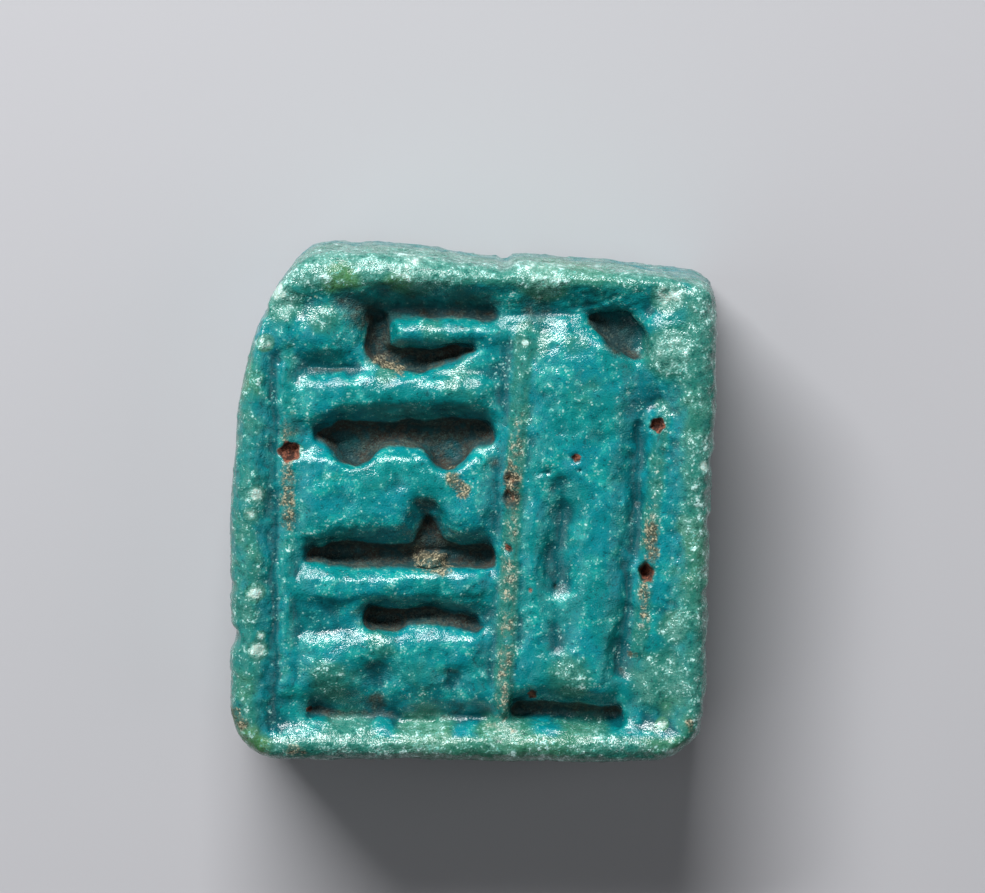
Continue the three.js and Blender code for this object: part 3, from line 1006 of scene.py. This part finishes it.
# Every pattern, mark and field by its name
def makeFields(tree, look, place):
    sockets = {
        name: addNode(tree, "Attribute", [], "Fac", attribute_name=name)
        for name in markNames
    }
    for name, (size, detail) in look["patterns"].items():
        scale = 1 / (size * mm)
        sockets[name] = addNode(tree, "TexNoise", {"Vector": place, "Scale": scale, "Detail": detail})
    grains = {"Vector": place, "Scale": 1 / (look["grain"] * mm)}
    sockets["grain"] = addNode(tree, "TexVoronoi", grains, "Distance")
    sockets["facing"] = sockets["grain"].node.outputs["Color"]
    sockets["tone"] = addNode(tree, "SeparateColor", {"Color": sockets["facing"]}, "Red")
    sockets["shine"] = addNode(tree, "SeparateColor", {"Color": sockets["facing"]}, "Green")
    for name, (parts, low, high, most) in look["fields"].items():
        total = 0.0
        for part, share in parts.items():
            total = addNode(tree, "Math", [sockets[part], share, total], operation="MULTIPLY_ADD")
        ranged = [total, low, high, 0.0, most]
        sockets[name] = addNode(tree, "MapRange", ranged, interpolation_type="SMOOTHSTEP")
    onPaste = [sockets["tinted"], sockets["paste"]]
    sockets["tinted"] = addNode(tree, "Math", onPaste, operation="MULTIPLY")
    return sockets


def makeFaience(look):
    material = bpy.data.materials.new("glazed_quartz_faience")
    material.use_nodes = True
    tree = material.node_tree
    shader = tree.nodes["Principled BSDF"]
    sockets = makeFields(tree, look, addNode(tree, "TexCoord", [], "Object"))

    colours = dict(look["colours"])
    for name, share, under, over in look["mixes"]:
        mixed = {0: sockets[share], 6: colours[under], 7: colours[over]}
        colours[name] = addNode(tree, "Mix", mixed, 2, data_type="RGBA")

    # gloss: the pooled glaze is a smooth glass; frost, earth and the painted shade laid with it are not
    dull = addNode(tree, "Math", [sockets["sandy"], sockets["earthAndShadeCover"]], operation="MAXIMUM")
    dull = addNode(tree, "Math", [dull, sockets["rusty"]], operation="MAXIMUM")
    frosted = addNode(tree, "MapRange", [sockets["mist"], 0.0, 1.0, *look["roughness"]])
    roughness = addNode(tree, "Math", [dull, look["roughnessOfEarth"], frosted], operation="MULTIPLY_ADD")
    clear = addNode(tree, "MapRange", [dull, 0.0, look["dullFrom"], 1.0, 0.0])
    patchy = addNode(tree, "Math", [sockets["patchy"], look["glossLeast"]])
    gloss = addNode(tree, "Math", [clear, patchy], operation="MULTIPLY")
    glow = addNode(tree, "MapRange", [dull, 0.0, look["dullFrom"], look["glow"], 0.0])

    # relief too fine for the mesh: grains under the glaze
    mottled = [sockets["mottle"], look["reliefOfMottles"], sockets["speck"]]
    height = addNode(tree, "Math", mottled, operation="MULTIPLY_ADD")
    grained = [sockets["grain"], look["reliefOfGrains"], height]
    height = addNode(tree, "Math", grained, operation="MULTIPLY_ADD")
    rugged = addNode(tree, "Math", [sockets["mist"], dull], operation="MAXIMUM")
    strength = addNode(tree, "MapRange", [rugged, 0.0, look["ruggedFrom"], *look["reliefStrength"]])
    grains = {"Height": height, "Strength": strength, "Distance": look["reliefHeight"] * mm}
    bump = addNode(tree, "Bump", grains, "Normal")

    # each grain's own facet catches the light in its own way
    turned = addNode(tree, "VectorMath", [sockets["facing"], (0.5, 0.5, 0.5)], operation="SUBTRACT")
    turned = addNode(tree, "VectorMath", [turned, (look["facets"],) * 3, bump], operation="MULTIPLY_ADD")
    turned = addNode(tree, "VectorMath", [turned], operation="NORMALIZE")

    for name, socket in (
        ("Base Color", colours["finish"]),
        ("Roughness", roughness),
        ("Coat Weight", gloss),
        ("Subsurface Weight", glow),
        ("Normal", bump),
        ("Coat Normal", turned),
    ):
        tree.links.new(socket, shader.inputs[name])
    shader.inputs["Coat Roughness"].default_value = look["glossRoughness"]
    shader.inputs["IOR"].default_value = look["ior"]
    shader.inputs["Subsurface Radius"].default_value = look["glowColours"]
    shader.inputs["Subsurface Scale"].default_value = look["glowReach"] * mm
    return material


print("faience")
seal.data.materials.clear()
seal.data.materials.append(makeFaience(faienceLook))

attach(seal, "root")
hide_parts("seal")

# Floor, lights and camera, in metres

print("studio")
studio = {
    "floor": "#b4b4b8",
    "floorWide": 0.6,
    "floorRoughness": 0.9,
    "surround": "#8f9196",
    "surroundStrength": 0.155,
    "lampsAim": (0, 0, 0.004),
    # Name, place, size and power
    "lamps": [
        ("overhead_softbox", (-0.045, 0.135, 0.12), (0.14, 0.04), 0.59),
        ("left_fill", (-0.14, -0.02, 0.16), (0.14, 0.14), 0.055),
        ("right_fill", (0.15, 0.0, 0.14), (0.14, 0.14), 0.04),
    ],
}
bpy.ops.mesh.primitive_plane_add(size=studio["floorWide"])
floor = bpy.context.object
floor.name = "floor"
board = bpy.data.materials.new("matte_grey_board")      # painted board: it gives no shine at all
board.use_nodes = True
paint = board.node_tree.nodes["Principled BSDF"]
paint.inputs["Base Color"].default_value = toLinear(studio["floor"])
paint.inputs["Roughness"].default_value = studio["floorRoughness"]
floor.data.materials.append(board)

for name, place, size, power in studio["lamps"]:
    lamp = bpy.data.lights.new(name, "AREA")
    lamp.shape = "RECTANGLE"
    lamp.size, lamp.size_y = size
    lamp.energy = power
    lampObject = bpy.data.objects.new(name, lamp)
    bpy.context.scene.collection.objects.link(lampObject)
    lampObject.location = place
    aim = Vector(studio["lampsAim"]) - Vector(place)
    lampObject.rotation_euler = aim.to_track_quat("-Z", "Y").to_euler()

bpy.context.scene.view_settings.view_transform = "Standard"
world = bpy.data.worlds.new("studio")
bpy.context.scene.world = world
world.use_nodes = True
world.node_tree.nodes["Background"].inputs["Color"].default_value = toLinear(studio["surround"])
world.node_tree.nodes["Background"].inputs["Strength"].default_value = studio["surroundStrength"]

shot = {
    "frameWide": 24.7,       # millimetres that the picture's width covers at the face
    "lens": 200,
    "sensor": 36,
    "nearest": 0.01,         # metres
    "tilt": 6,               # degrees from straight down, towards the seal's top edge
    "aim": (0.49, 1.61, 5.0),
}
camera = bpy.data.cameras.new("camera")
camera.lens = shot["lens"]
camera.sensor_width = shot["sensor"]
camera.clip_start = shot["nearest"]
cameraObject = bpy.data.objects.new("camera", camera)
bpy.context.scene.collection.objects.link(cameraObject)
tilt = math.radians(shot["tilt"])
distance = shot["lens"] * shot["frameWide"] / shot["sensor"]
away = distance * Vector((0, math.sin(tilt), math.cos(tilt)))
cameraObject.location = (Vector(shot["aim"]) + away) * mm
cameraObject.rotation_euler = (-tilt, 0, 0)
bpy.context.scene.camera = cameraObject
